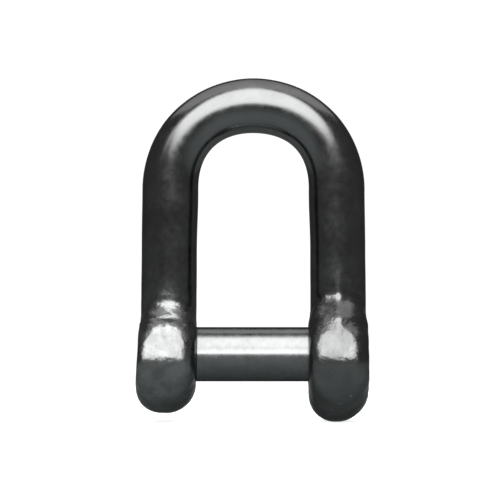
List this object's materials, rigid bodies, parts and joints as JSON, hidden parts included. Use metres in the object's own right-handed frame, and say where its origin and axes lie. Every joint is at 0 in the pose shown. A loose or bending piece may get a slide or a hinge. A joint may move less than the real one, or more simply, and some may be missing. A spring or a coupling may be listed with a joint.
{
  "type": "shackle",
  "caption": "D-shaped forged shackle with parallel legs and a removable screw pin whose head is sunk flush in one eye; it links chain, rope eyes or rings.",
  "frame": {"origin": "centre of the pin's axis, midway across the jaw", "axes": "+X along the pin towards its sunk head, +Z towards the crown, -Y is the front"},
  "size_m": [0.0662, 0.0384, 0.0982],
  "materials": {
    "forged_body": "satin black over forged steel",
    "pin": "satin black over turned steel"
  },
  "bodies": {
    "body": {"shackle_body": "forged_body"},
    "pin": {"sunk_pin": "pin"}
  },
  "joints": [
    {"name": "pin_withdraw", "type": "slide", "parent": "body", "child": "pin", "axis": [1, 0, 0], "range_m": [0, 0.085]}
  ]
}
